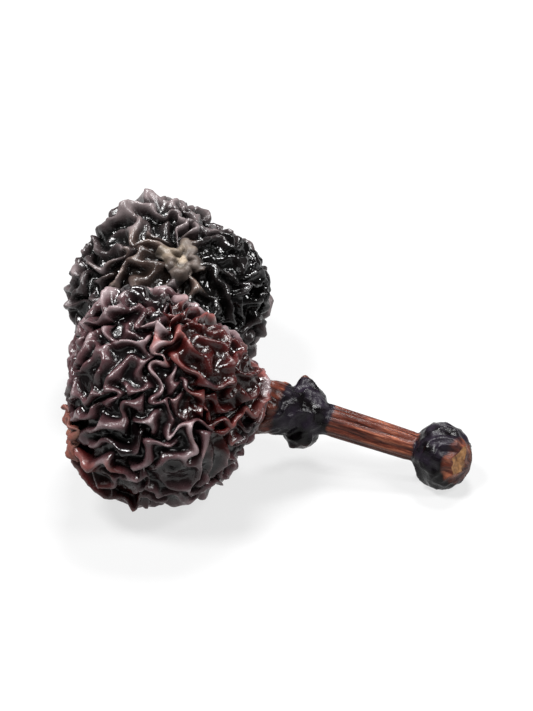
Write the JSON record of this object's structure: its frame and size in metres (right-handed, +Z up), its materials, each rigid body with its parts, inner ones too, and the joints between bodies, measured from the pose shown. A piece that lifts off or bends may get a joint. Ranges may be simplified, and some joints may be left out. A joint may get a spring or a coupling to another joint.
{
  "type": "dried elderberry cluster",
  "caption": "Wrinkled near-black dried berries stuck together side by side, the front one on a broken forked stalk with a knob end.",
  "frame": {"origin": "bottom centre of the whole cluster's box, on the surface it rests on", "axes": "+X from the berries along the stalk to its knob, +Y from the front berry to the rear berry, +Z up"},
  "size_m": [0.0086, 0.0084, 0.0046],
  "materials": {
    "lower_skin": "wrinkled dry fruit skin, purple-black with red-brown areas, satin with glossy fold crests",
    "upper_skin": "wrinkled dry fruit skin, grey-black, satin",
    "dry_calyx": "dry papery plant tissue, tan to red-brown, matt",
    "stalk_bark": "dry stalk, red-brown with lengthwise ribs, blue-black at the fork joint and knob"
  },
  "bodies": {
    "root": {"lower_berry": "lower_skin", "upper_berry": "upper_skin", "lower_calyx": "dry_calyx", "upper_calyx": "dry_calyx", "stalk": "stalk_bark"}
  },
  "joints": []
}
